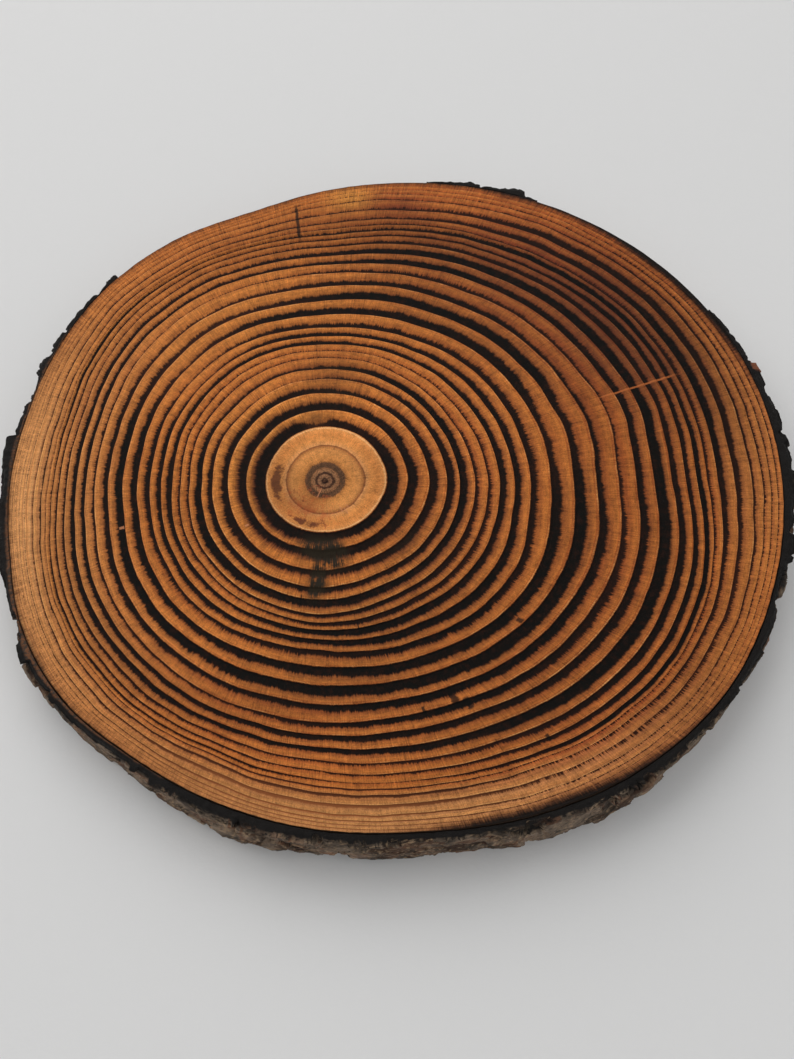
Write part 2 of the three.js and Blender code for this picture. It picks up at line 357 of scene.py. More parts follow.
def ease(value, low=0.0, high=1.0):
    """0 below low and 1 above high, with a smooth S between: 3t^2 - 2t^3."""
    t = np.clip((value - low) / (high - low), 0, 1)
    return t * t * (3 - 2 * t)


def scatter(column, row, salt):
    """A value from 0 to 1 that is always the same for the same whole numbers."""
    wave = np.sin(column * 127.1 + row * 311.7 + salt * 74.7) * 43758.5453
    return wave - np.floor(wave)


def ripple(across, up, salt):
    """Smooth noise from -1 to 1: scattered corner values, eased along both sides of each cell."""
    i, j = np.floor(across), np.floor(up)
    u, v = ease(across - i), ease(up - j)
    low = scatter(i, j, salt) * (1 - u) + scatter(i + 1, j, salt) * u
    high = scatter(i, j + 1, salt) * (1 - u) + scatter(i + 1, j + 1, salt) * u
    return 2 * (low * (1 - v) + high * v) - 1


def waves(across, up, *parts):
    """Sum of ripples, each given as its height, its length across and up, and its salt."""
    return sum(height * ripple(across / long, up / high, salt) for height, long, high, salt in parts)


def around(values, degrees):
    """Value at each angle on a smooth closed curve through evenly spaced values."""
    values = np.asarray(values, dtype=float)
    count = len(values)
    place = np.mod(degrees, 360) / 360 * count
    first = np.floor(place).astype(int)
    t = place - first
    a, b, c, d = (values[(first + step) % count] for step in (-1, 0, 1, 2))
    return b + 0.5 * t * (c - a + t * (2 * a - 5 * b + 4 * c - d + t * (3 * (b - c) + d - a)))


def ring_radii(degrees):
    """Radius of every ring at each angle: rows from the pith, through each ring, to the edge."""
    rows = [np.zeros_like(degrees)]
    for inner, outer, shares in RING_STEPS:
        low, high = around(inner, degrees), around(outer, degrees)
        rows += [low + (high - low) * share for share in shares]
    return np.array(rows)


def near_angle(degrees, middle, half_width):
    """1 at the middle angle, easing to 0 at half_width degrees either side."""
    away = np.abs(np.mod(degrees - middle + 180, 360) - 180)
    return 0.5 + 0.5 * np.cos(np.pi * np.clip(away / half_width, 0, 1))


def spot(radius, degrees, middle_radius, middle_degrees, half_length, half_angle):
    """A soft patch: 1 at its middle, easing to 0 at half_length mm and half_angle degrees."""
    along = np.clip(np.abs(radius - middle_radius) / half_length, 0, 1)
    return (0.5 + 0.5 * np.cos(np.pi * along)) * near_angle(degrees, middle_degrees, half_angle)


def burning(ring, degrees):
    """Burnt share, blackness and breaks at whole ring numbers and angles, zones added."""
    found = [np.asarray(table, dtype=float)[ring] for table in (BURNT_SHARE, BURNT_BLACK, BURNT_BROKEN)]
    for first, last, middle, half_width, *changes in BURN_ZONES:
        inside = (ring >= first) & (ring <= last)
        weight = np.where(inside, near_angle(degrees, middle, half_width), 0)
        found = [value + weight * change for value, change in zip(found, changes)]
    return [np.clip(value, 0, 1) for value in found]


def grid_faces(rows, columns, closed_rows, closed_columns):
    """Corner numbers of the quads between neighbouring rows and columns of a grid."""
    i = np.arange(rows if closed_rows else rows - 1)[:, None]
    j = np.arange(columns if closed_columns else columns - 1)[None, :]
    i1, j1 = (i + 1) % rows, (j + 1) % columns
    corners = [i * columns + j, i1 * columns + j, i1 * columns + j1, i * columns + j1]
    return np.stack(np.broadcast_arrays(*corners), axis=-1).reshape(-1, 4)


def new_piece(name, points, faces, marks, node):
    """A mesh object from points in mm and faces, with its marks as point attributes."""
    mesh = bpy.data.meshes.new(name)
    mesh.from_pydata((points * MM).tolist(), [], [face for group in faces for face in group.tolist()])
    for label, values in marks.items():
        made = mesh.attributes.new(label, "FLOAT", "POINT")
        made.data.foreach_set("value", np.asarray(values, dtype=np.float32).ravel())
    mesh.polygons.foreach_set("use_smooth", np.ones(len(mesh.polygons), dtype=bool))
    mesh.validate()
    mesh.update()
    piece = bpy.data.objects.new(name, mesh)
    bpy.context.scene.collection.objects.link(piece)
    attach(piece, "root")
    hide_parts(node)
    return piece


def one_row(*values):
    """One more row of a grid, from arrays along it and single values."""
    return [value[None] for value in np.broadcast_arrays(*values)]


def fan(hub, first, second):
    """Triangles from a hub's corner number to each pair of corners."""
    return np.stack(np.broadcast_arrays(hub, first, second), axis=-1)


def placed(radius, degrees, height):
    """Points in mm at a distance and angle round the pith and a height."""
    turn = np.radians(degrees)
    x, y = PITH[0] + radius * np.cos(turn), PITH[1] + radius * np.sin(turn)
    return np.stack(np.broadcast_arrays(x, y, height), axis=-1)


# The wood disc

# Spokes of the mesh, where a ring's own cell begins before it, and the rows in a ring, in the
# bare middle and at the end of the middle
SPOKES = 336
CELL_START = 0.88
ROWS_IN_RING = [0, 0.045, 0.16, 0.28, 0.4, 0.52, 0.66, 0.8, 0.89]
ROWS_IN_MIDDLE = 20
LAST_OF_MIDDLE = [0.89, 0.95, 0.985]

# Section of the wood's side, as the distance in from its edge and the height. Its first step
# belongs to the face and its last to the underside.
SIDE = [
    (0.5, 15), (0.2, 14.85), (0.05, 14.6), (0, 14), (0, 11.5), (0, 9), (0, 6.5), (0, 4), (0, 1.5),
    (0.1, 0.3), (0.4, 0),
]
SIDE_ROUGHNESS = 0.09

# Ripples as height, length across, length up and salt: the face's slow waves and the rings' sway
FACE_WAVES = [(0.35, 17, 13, 3), (0.15, 4.1, 3.7, 5)]
RING_SWAY = [(0.3, 11, 11, 21), (0.13, 4.3, 4.3, 22)]

# Flat map, as shares of its width: mm across it and its middle, the scale of the face and of
# the underside, and where the underside and the edge begin
MAP_SPAN = 190
MAP_MIDDLE = [95, 92]
MAP_FACE = 0.7
MAP_UNDERSIDE = 0.28
UNDERSIDE_START = 0.715
EDGE_START = 0.72
EDGE_HEIGHT = 0.05
FACE_PART, EDGE_PART, UNDER_PART = 0, 1, 2


def face_height(ring, share, black, x, y, depth, unevenness):
    """Height in mm of the torched face: each ring drops at its inner edge by the groove depth,
    stays low over its burnt share, and rises back to the hard late wood."""
    part = np.mod(ring, 1)
    rise = ease(part, np.maximum(share - 0.1, 0.04), share + 0.28)
    low = np.where((part > 0.01) & (part < CELL_START), 1 - rise, 0)
    reach = np.clip(share * 2.2, 0, 1) * (0.35 + 0.65 * black)
    return THICKNESS - depth * reach * low - unevenness * (0.5 + waves(x, y, *FACE_WAVES))


def disc_rows():
    """Ring numbers of the rows of the face, from the first ring of points round the pith out."""
    middle = [step / ROWS_IN_MIDDLE * CELL_START for step in range(1, ROWS_IN_MIDDLE)]
    cells = [ring + part for ring in range(1, RING_COUNT) for part in ROWS_IN_RING]
    return np.array(middle + LAST_OF_MIDDLE + cells)


def torched_disc(settings):
    """The wood disc as one closed surface: rows follow the year rings over the face, then go
    round the arris, down the bare edge and in over the underside to a point under the pith."""
    spokes = np.arange(SPOKES) * 360 / SPOKES
    across, up = np.cos(np.radians(spokes)), np.sin(np.radians(spokes))
    radii = ring_radii(spokes)
    edge = radii[-1] + around(EDGE_REACH, spokes)
    numbers = disc_rows()
    whole = np.floor(numbers).astype(int)
    part = (numbers - whole)[:, None]
    radius = radii[whole] * (1 - part) + radii[whole + 1] * part
    sway = waves(radius * across, radius * up, *RING_SWAY)
    radius = radius + sway * ease(radius, 6, 22) * ease(edge - radius, 0.5, 5)
    radius = np.minimum(radius, edge - EDGE_ROUNDING)
    cell = np.where(numbers - whole >= CELL_START, whole + 1, whole)[:, None]
    ring, cell, degrees = np.broadcast_arrays(numbers[:, None], cell, spokes)
    share, black, broken = burning(cell, degrees)
    depth, unevenness = settings.groove_depth / MM, settings.unevenness / MM
    height = face_height(ring, share, black, radius * across, radius * up, depth, unevenness)

    rows = [(radius, height, ring, share, black, broken)]
    last = [value[-1] for value in (share, black, broken)]
    for inward, z in SIDE:
        rough = SIDE_ROUGHNESS * (ripple(spokes * 1.3, np.full(SPOKES, z / 9), 11) - 1)
        rows.append(one_row(edge - inward + rough * (inward < 0.45), z, RING_COUNT, *last))
    for below in range(RING_COUNT - 1, 0, -1):
        rows.append(one_row(radii[below], 0, below, *last))
    radius, height, ring, share, black, broken = (np.concatenate(column) for column in zip(*rows))

    points = placed(radius, spokes, height).reshape(-1, 3)
    top, bottom = len(points), len(points) + 1
    points = np.concatenate([points, [[*PITH, THICKNESS - unevenness * 0.5], [*PITH, 0]]])
    quads = grid_faces(len(radius), SPOKES, False, True)
    here = np.arange(SPOKES)
    after = (here + 1) % SPOKES
    lowest = (len(radius) - 1) * SPOKES
    faces = [quads, fan(top, here, after), fan(bottom, lowest + after, lowest + here)]

    degrees = np.broadcast_to(spokes, radius.shape)
    marks = {
        "ring": ring, "share": share, "black": black, "broken": broken, "rim": edge - radius,
        "rim_char": around(RIM_CHAR, degrees), "core": radius / radii[1] * CORE_RADIUS,
        **face_marks(radius, degrees, ring),
    }
    at_pith = {label: values[0, 0] for label, values in marks.items()} | {"ring": 0, "rim": 30}
    marks = {label: np.append(values, [at_pith[label]] * 2) for label, values in marks.items()}
    piece = new_piece("torched_disc", points, faces, marks, "wood_disc")
    for material in (torched_face(settings), bare_edge(settings), sawn_underside(settings)):
        piece.data.materials.append(material)
    kind = np.full(len(quads) + 2 * SPOKES, FACE_PART, dtype=np.int32)
    side = (len(numbers) + 1) * SPOKES
    under = (len(numbers) + len(SIDE) - 2) * SPOKES
    kind[side:under] = EDGE_PART
    kind[under:len(quads)] = UNDER_PART
    kind[len(quads) + SPOKES:] = UNDER_PART
    piece.data.polygons.foreach_set("material_index", kind)
    lay_out_map(piece, kind)


def face_marks(radius, degrees, ring):
    """The patches of the face, and by ring and angle the pale sapwood, how frayed the bands are
    and where the year lines are unburnt, all from 0 to 1, with the shade as a factor near 1."""
    marks = {
        name: sum(amount * spot(radius, degrees, *place) for amount, *place in patches)
        for name, patches in FACE_PATCHES.items()
    }
    marks["deep"] = marks["deep"] + DEEP_ALL_OVER
    sap, inner_sap, unburnt = (
        ease(ring, *rings) * sum(amount * near_angle(degrees, *place) for amount, *place in sides)
        for rings, sides in (
            (SAP_RINGS, SAP_SIDES), (INNER_SAP_RINGS, INNER_SAP_SIDES), (UNBURNT_RINGS, UNBURNT_SIDES),
        )
    )
    marks |= {"sap": sap + inner_sap, "unburnt": unburnt}
    marks["frayed"] = 0.45 + 0.6 * near_angle(degrees, 215, 140) * ease(radius, 95, 40)
    marks = {name: np.clip(value, 0, 1) for name, value in marks.items()}
    marks["shade"] = 1 + sum(change * spot(radius, degrees, *place) for *place, change in SHADE_ZONES)
    return marks


def lay_out_map(piece, kind):
    """Flat map for baking: the face seen from above, the underside beside it, and the edge
    unrolled as a strip along the top."""
    mesh = piece.data
    vertex = np.empty(len(mesh.loops), dtype=np.int32)
    mesh.loops.foreach_get("vertex_index", vertex)
    place = np.empty(len(mesh.vertices) * 3)
    mesh.vertices.foreach_get("co", place)
    place = place.reshape(-1, 3)[vertex] / MM
    sides = np.empty(len(mesh.polygons), dtype=np.int32)
    mesh.polygons.foreach_get("loop_total", sides)
    part = np.repeat(kind, sides)
    flat = np.empty((len(vertex), 2))
    face, edge, under = part == FACE_PART, part == EDGE_PART, part == UNDER_PART
    flat[face] = (place[face, :2] + MAP_MIDDLE) / MAP_SPAN * MAP_FACE
    flat[under] = (place[under, :2] * [-1, 1] + MAP_MIDDLE) / MAP_SPAN * MAP_UNDERSIDE + [UNDERSIDE_START, 0]
    angle = np.degrees(np.arctan2(place[:, 1] - PITH[1], place[:, 0] - PITH[0])) % 360
    start = angle[np.repeat(np.cumsum(sides) - sides, sides)]
    angle = np.where((angle < 90) & (start > 270), angle + 360, angle)
    angle = np.where((angle > 270) & (start < 90), angle - 360, angle)
    flat[edge, 0] = 0.005 + (angle[edge] + 1) / 362 * 0.99
    flat[edge, 1] = EDGE_START + place[edge, 2] / THICKNESS * EDGE_HEIGHT
    made = mesh.uv_layers.new(name="OFBake")
    made.data.foreach_set("uv", flat.ravel().astype(np.float32))


# Materials


class Signal:
    """A value inside a material. Arithmetic on it adds the nodes that work the result out."""

    def __init__(self, paint, socket):
        self.paint, self.socket = paint, socket

    def __add__(self, other):
        return self.paint.math("ADD", self, other)

    def __sub__(self, other):
        return self.paint.math("SUBTRACT", self, other)

    def __rsub__(self, other):
        return self.paint.math("SUBTRACT", other, self)

    def __mul__(self, other):
        return self.paint.math("MULTIPLY", self, other)

    def __truediv__(self, other):
        return self.paint.math("DIVIDE", self, other)


class Paint:
    """One material under construction: every method adds a node and gives back its signal."""

    def __init__(self, name):
        self.material = bpy.data.materials.new(name)
        self.material.use_nodes = True
        self.tree = self.material.node_tree
        self.tree.nodes.clear()

    def add(self, kind, inputs=(), output=0, **settings):
        node = self.tree.nodes.new(kind)
        for label, value in settings.items():
            setattr(node, label, value)
        for key, value in dict(inputs).items():
            if isinstance(value, Signal):
                self.tree.links.new(value.socket, node.inputs[key])
            elif node.inputs[key].type == "RGBA":
                node.inputs[key].default_value = (*value[:3], 1)
            else:
                node.inputs[key].default_value = value
        return Signal(self, node.outputs[output])

    def math(self, operation, *values):
        return self.add("ShaderNodeMath", enumerate(values), operation=operation)

    def clamped(self, value):
        return self.add("ShaderNodeClamp", {"Value": value})

    def vector(self, operation, *values, output=0):
        inputs = {3 if operation == "SCALE" and i == 1 else i: v for i, v in enumerate(values)}
        return self.add("ShaderNodeVectorMath", inputs, output, operation=operation)

    def marks(self, *names):
        return [self.add("ShaderNodeAttribute", output="Fac", attribute_name=name) for name in names]

    def between(self, value, low, high, to_low=0.0, to_high=1.0):
        inputs = {"Value": value, "From Min": low, "From Max": high, "To Min": to_low, "To Max": to_high}
        return self.add("ShaderNodeMapRange", inputs, interpolation_type="SMOOTHSTEP")

    def fading(self, value, low, high):
        return self.between(value, low, high, 1.0, 0.0)

    def noise(self, vector, scale, detail=2.0, roughness=0.5):
        inputs = {"Vector": vector, "Scale": scale, "Detail": detail, "Roughness": roughness}
        return self.add("ShaderNodeTexNoise", inputs, "Fac")

    def join(self, x, y, z):
        return self.add("ShaderNodeCombineXYZ", enumerate((x, y, z)))

    def part_of(self, vector, axis):
        return self.add("ShaderNodeSeparateXYZ", {"Vector": vector}, "XYZ".index(axis))

    def colour(self, factor, first, second, blend="MIX"):
        inputs = {0: factor, 6: first, 7: second}
        return self.add("ShaderNodeMix", inputs, 2, data_type="RGBA", blend_type=blend)

    def layered(self, colour, *layers):
        for amount, tint in layers:
            colour = self.colour(amount, colour, tint)
        return colour

    def shaded(self, colour, tone):
        return self.colour(1.0, colour, self.join(tone, tone, tone), "MULTIPLY")

    def ramp(self, factor, stops):
        made = self.add("ShaderNodeValToRGB", {0: factor})
        bands = made.socket.node.color_ramp.elements
        while len(bands) < len(stops):
            bands.new(1.0)
        for band, (place, tint) in zip(bands, stops):
            band.position = place
            band.color = (*tint[:3], 1)
        return made

    def finish(self, colour, roughness, height, distance, specular):
        bump = self.add("ShaderNodeBump", {"Height": height, "Distance": distance, "Strength": 1.0})
        inputs = {"Base Color": colour, "Roughness": roughness, "Specular IOR Level": specular}
        surface = self.add("ShaderNodeBsdfPrincipled", {**inputs, "Normal": bump})
        output = self.tree.nodes.new("ShaderNodeOutputMaterial")
        self.tree.links.new(surface.socket, output.inputs["Surface"])
        return self.material


def from_pith(paint):
    """Place in mm from the pith's line, its distance, and the direction as a unit vector."""
    place = paint.add("ShaderNodeTexCoord", output="Object")
    centred = paint.vector("SUBTRACT", place, (PITH[0] * MM, PITH[1] * MM, 0))
    mm = paint.vector("SCALE", centred, 1 / MM)
    flat = paint.vector("MULTIPLY", mm, (1, 1, 0))
    distance = paint.vector("LENGTH", flat, output="Value")
    heading = paint.vector("NORMALIZE", flat)
    return mm, distance, heading


def round_noise(paint, heading, turns, lift, detail=2.0, roughness=0.6):
    """Noise round the pith, from -0.5 to 0.5, with its own pattern at each lift."""
    place = paint.vector("ADD", paint.vector("SCALE", heading, turns), paint.join(0, 0, lift))
    return paint.noise(place, 1.0, detail, roughness) - 0.5


def hairlines(paint, distance, heading, seed):
    """Fine lines out from the pith, from -0.5 to 0.5: coarse ones near it, which give way to
    finer ones from 30 to 60 mm out."""
    near, far = (round_noise(paint, heading, turns, distance * 0.12 + seed) for turns in HAIRLINES)
    return near + paint.between(distance, 30, 60) * (far - near)


def spoke_marks(paint, mm, marks):
    """Short marks along spokes, 1 inside and 0 outside, their sides roughened by noise."""
    rough = paint.noise(mm, 1.3, 3.0, 0.7) - 0.5
    found = 0
    for degrees, start, end, width in marks:
        turn = math.radians(degrees)
        along = paint.vector("DOT_PRODUCT", mm, (math.cos(turn), math.sin(turn), 0), output="Value")
        across = paint.vector("DOT_PRODUCT", mm, (-math.sin(turn), math.cos(turn), 0), output="Value")
        across = paint.math("ABSOLUTE", rough * (1.6 * width) + across)
        away = paint.math("ABSOLUTE", along - (start + end) / 2)
        half = (end - start) / 2
        inside = paint.fading(across, width * 0.6, width * 1.2) * paint.fading(away, half * 0.6, half)
        found = paint.math("MAXIMUM", found, inside)
    return found


def face_noises(paint):
    """The place on the face and the noises that its layers share, by name. The part is how far
    a place is through its ring's cell, below 0 in the late wood before the ring itself."""
    mm, distance, heading = from_pith(paint)
    ring, frayed = paint.marks("ring", "frayed")
    shifted = ring + (1 - CELL_START)
    index = paint.math("FLOOR", shifted)
    return SimpleNamespace(
        mm=mm, heading=heading, ring=ring, index=index, part=shifted - index - (1 - CELL_START),
        lines=hairlines(paint, distance, heading, 3.1),
        teeth=round_noise(paint, heading, TEETH, distance * 0.1 + index * 7.3) * frayed,
        drips=round_noise(paint, heading, DRIPS, index * 4.1) * frayed,
        sway=round_noise(paint, heading, SWAY, index * 3.7),
        blots=paint.noise(mm, *BLOTS) - 0.5,
        mottle=paint.noise(mm, *MOTTLE) - 0.5,
        speckle=paint.noise(mm, *SPECKLE) - 0.5,
    )


def burnt_bands(paint, at):
    """How much each place lies in its ring's burnt band, and in the halo that reaches on from
    the band: crisp towards the pith, toothed away from it, and broken into dots."""
    share, broken = paint.marks("share", "broken")
    ragged = at.part + at.teeth * 0.36 + at.drips * 0.26 + at.sway * 0.28 + at.blots * 0.2
    gaps = round_noise(paint, at.heading, at.index * 12.0 + 60.0, at.index * 5.9)
    share = share * (1.0 - broken * paint.fading(gaps, -0.06, 0.05))
    full = paint.fading(ragged, share - 0.09, share + 0.07)
    fringe = paint.fading(ragged, share - 0.1, share + 0.42)
    crisp = paint.between(at.part + at.blots * 0.08 + at.teeth * 0.09, -0.02, 0.03)
    kept = crisp * paint.between(share, 0.03, 0.1)
    return full * kept, fringe * kept


def unburnt_wood(paint, at, texture, settings):
    """Wood between the bands: golden to deep red, paler in the sapwood, with a painted highlight as a thin
    pale line on the crest of the late wood before each band, fine rings and streaks, and a smoke stain."""
    deep, golden, sap, checked, unburnt = paint.marks("deep", "golden", "sap", "checked", "unburnt")
    shade, smoke = paint.marks("shade", "smoke")
    streaks = round_noise(paint, at.heading, STREAKS, at.ring * 5.5, 4.0, 0.65)
    # Painted highlight: a thin pale line where light would catch the crest of the proud late wood just
    # before each band
    crest_highlight = paint.between(at.part, -0.1, -0.04) * paint.fading(at.part, -0.02, 0.0)
    comb = paint.between(at.lines, -0.15, 0.12, 0.55, 1.25)
    crest_highlight_amount = sap * 0.6 + paint.between(streaks, -0.1, 0.2, 0.1, 0.6) + checked * 0.6
    false_ring = paint.math("SINE", at.ring * (1.5 * math.tau) + at.sway * 2.0)
    false_ring = paint.between(false_ring, 0.35, 1.0) * sap * (1.0 - unburnt)
    wood = paint.layered(
        settings.late_wood,
        (golden, settings.golden_wood),
        (at.mottle * 0.7 + deep, settings.deep_wood),
        (sap, settings.sap_wood),
        (paint.between(at.part, 0.3, 0.85) * 0.3, settings.golden_wood),
        (crest_highlight * comb * crest_highlight_amount, settings.crest_highlight_wood),
        (false_ring * 0.7, settings.line_wood),
    )

    fine_rings = paint.noise(paint.join(at.ring * 9.0, 0, 0), 1.0, 3.0, 0.7) - 0.5
    checks = round_noise(paint, at.heading, CHECKS, at.index * 0.6, 1.0)
    checks = paint.between(checks, 0.17, 0.24) * checked
    tone = texture + 1.0 + fine_rings * 0.5 + streaks * 1.1 - checks * 0.4
    wood = paint.shaded(wood, tone * shade)
    return paint.colour(smoke * paint.between(at.mottle, -0.2, 0.2, 0.7, 1.0), wood, settings.smoke)


def bare_middle(paint, at, texture, settings):
    """The wood inside ring 1: its own fine dark and pale rings, a reddish side, a scorched arc
    and a grainy pith."""
    core, deep, scorch, shade = paint.marks("core", "deep", "scorch", "shade")
    core = core + at.mottle * 0.7 + at.blots * 0.45
    tints = [(place, light_values(*tint)) for place, tint in CORE_TINTS]
    wood = paint.layered(
        paint.ramp(core / CORE_REACH, tints),
        (paint.between(at.blots * 2.0 + deep, 0.3, 0.9) * 0.6, settings.deep_wood),
        (paint.between(at.blots * 1.6 + scorch, 0.35, 0.75) * 0.85, settings.scorched_wood),
    )
    grainy = at.speckle * paint.fading(core, 4.7, 5.3) * 2.2
    return paint.shaded(wood, (texture + 1.02 + at.mottle + grainy) * shade)


def torched_face(settings):
    """Charred early wood between proud late wood, over wood that runs from golden to deep red,
    with a bare middle, soot, a charred rim and small marks along the spokes."""
    paint = Paint("torched face")
    at = face_noises(paint)
    band, halo = burnt_bands(paint, at)
    sap, black, unburnt, smoulder, soot = paint.marks("sap", "black", "unburnt", "smoulder", "soot")
    rim, rim_char = paint.marks("rim", "rim_char")
    line_amount = sap * -0.95 + paint.between(at.ring, 0.6, 2.0, 0.7, 1.4)
    texture = at.lines * line_amount + at.speckle * 1.3 + at.blots * 1.15
    wood = unburnt_wood(paint, at, texture, settings)
    middle = bare_middle(paint, at, texture, settings)
    wood = paint.colour(paint.fading(at.ring, 0.985, 1.0), wood, middle)

    dusty = paint.between(paint.noise(at.mm, *DUST), 0.45, 0.75, 1.0, 0.8)
    browned = paint.colour((at.lines * 0.15 + black) * dusty, settings.singed_wood, settings.char)
    browned = paint.colour(unburnt, browned, settings.line_wood)
    halo_amount = paint.clamped(halo * (black * 0.55 + smoulder)) * (1.0 - unburnt)
    sooty = at.lines * 0.9 + paint.noise(at.mm, *SOOT_CLOUDS)
    rim_place = rim - rim_char + at.lines * 1.4 + at.blots + at.mottle * 1.6
    burnt = paint.layered(
        wood,
        (halo_amount, settings.singed_wood),
        (halo * unburnt * 0.6, settings.line_wood),
        (band, browned),
        (soot * paint.between(sooty, 0.22, 0.52), settings.soot),
        (paint.fading(rim_place, -0.8, 2.5) * 0.85, settings.singed_wood),
        (paint.fading(rim_place, -0.8, 1.2) * 0.97, settings.char),
        (spoke_marks(paint, at.mm, RAY_MARKS) * 0.7, settings.ray_wood),
        (spoke_marks(paint, at.mm, PALE_MARKS) * 0.7, settings.chip_wood),
        (spoke_marks(paint, at.mm, DARK_MARKS) * 0.85, settings.char),
    )
    grit = paint.noise(at.mm, *GRIT)
    roughness = grit * 0.2 + 0.45 + band * 0.2
    return paint.finish(burnt, roughness, at.lines * 0.7 + grit * 0.3, FACE_BUMP, 0.12)


def bare_edge(settings):
    """Bare wood of the side: upright grain, weathered brown, singed at its top arris."""
    paint = Paint("bare edge")
    mm, _, heading = from_pith(paint)
    z = paint.part_of(mm, "Z")
    grain = round_noise(paint, heading, EDGE_GRAIN, z * 0.12, 4.0)
    wood = paint.colour(paint.noise(mm, 0.13, 3.0), settings.edge_wood, settings.edge_dark)
    wood = paint.shaded(wood, grain * 1.1 + 1.0)
    wood = paint.colour(paint.between(grain * 3.0 + z, 12.1, 14.1) * 0.9, wood, settings.char)
    return paint.finish(wood, 0.7, grain, EDGE_BUMP, 0.25)


def sawn_underside(settings):
    """Plain sawn wood with its year rings as soft brown lines and straight saw marks."""
    paint = Paint("sawn underside")
    mm, distance, heading = from_pith(paint)
    [ring] = paint.marks("ring")
    part = paint.math("FRACT", ring)
    lines = hairlines(paint, distance, heading, 8.4)
    late = paint.between(part, 0.35, 0.97) * paint.fading(part, 0.985, 1.0)
    wood = paint.colour(late * 0.75, settings.sawn_wood, settings.sawn_late)
    saw = paint.math("SINE", paint.noise(mm, 0.05) * 6.0 + paint.part_of(mm, "X") * 1.9)
    wood = paint.shaded(wood, lines * 0.35 + saw * 0.02 + 1.0)
    return paint.finish(wood, 0.75, saw * 0.5 + lines, UNDERSIDE_BUMP, 0.25)


# Bark

# Rows up the outer face, depth of the gaps, step along the edge and the radius it is measured at
FACE_ROWS = 50
GAP_DEPTH = 1.4
STATION = 0.42
MEAN_RADIUS = 90

# How far the strip stands off the bare wood, how far it stays inside the part's box, the least
# drop of its top, how deep and up to what height it is undercut, and the chip at the right as
# its angle, half width, reach, foot and head
STAND_OFF = 0.05
INSIDE = 0.02
TOP_DROP = 0.05
UNDERCUT = 0.7
UNDERCUT_TOP = 4.5
CHIP_ANGLE = 17.9
CHIP_HALF_ANGLE = 1.2
CHIP_REACH = 1.9
CHIP_FOOT = (8, 9.5)
CHIP_HEAD = 13.5

# Rows over the top, down behind and out along the bottom, as shares of the way, and the row
# whose marks the ends of a strip take
CROWN_SHARES = (0.92, 0.82, 0.7, 0.55, 0.4, 0.25, 0.12)
BACK_SHARES = (1.0, 0.66, 0.33, 0.0)
BOTTOM_SHARES = (0.3, 0.65)
END_ROW = 5


def bark_plates(along, up, seed):
    """Height of overlapping ragged plates over the strip's mean face, with each flake's tone, the nearness
    to a plate's edge or to the painted shadow line under a flake's step, 0 in the gaps, and 1 on a flake's
    lip.

    Each layer is a jittered grid of rounded squares bent by noise, and the highest plate at a
    place wins. Flakes are the terraces of a noise field: whole steps of it are added to the
    height, and its fraction says how far a place is from the step.
    """
    bent = along + waves(along, up, (1.9, 3.6, 2.4, seed), (0.5, 0.9, 0.8, seed + 1))
    raised = up + waves(along, up, (1.2, 4.2, 2.3, seed + 2), (0.4, 0.8, 0.7, seed + 3))
    height = np.full(along.shape, -GAP_DEPTH)
    tone, edge, solid = (np.zeros(along.shape) for _ in range(3))
    for layer, (wide, high, level) in enumerate(PLATE_LAYERS):
        salt = seed + 10 * layer
        for i_step, j_step in np.ndindex(3, 3):
            i, j = np.floor(bent / wide) + i_step - 1, np.floor(raised / high) + j_step - 1
            chance = [scatter(i, j, salt + kind) for kind in range(7)]
            across = bent - (i + 0.5 + 0.7 * (chance[0] - 0.5)) * wide
            over = raised - (j + 0.5 + 0.7 * (chance[1] - 0.5)) * high
            across = across / (wide * (0.3 + 0.22 * chance[2]))
            over = over / (high * (0.32 + 0.24 * chance[3]))
            reach = np.abs(across) ** 3 + np.abs(over) ** 3
            inside = ease(reach, 1.0, 0.72)
            tilt = -0.3 * over + 0.35 * (chance[4] - 0.5) * across
            top = level + 0.7 * (chance[5] - 0.5) + tilt
            lifted = -GAP_DEPTH + (top + GAP_DEPTH) * inside
            wins = lifted > height
            height = np.where(wins, lifted, height)
            tone = np.where(wins, chance[6], tone)
            edge = np.where(wins, ease(reach, 0.5, 0.95), edge)
            solid = np.where(wins, inside, solid)
    field = 3.0 * ripple(bent / FLAKE_WIDTH + 9 * tone, raised / FLAKE_HEIGHT, seed + 50)
    field = field + 1.6 * ripple(bent / 2.3, raised / 1.1 + 5 * tone, seed + 51)
    step = np.floor(field)
    past = field - step
    height = height + FLAKE_LIFT * (step + ease(past, 0, 0.22)) * solid
    lip = ease(past, 0.0, 0.12) * ease(past, 0.4, 0.2)
    shadow = ease(past, 0.8, 0.97)
    tone = 0.45 * tone + 0.55 * scatter(step, np.floor(tone * 40), seed + 52)
    return height, tone, np.maximum(edge, 0.8 * shadow), solid, lip


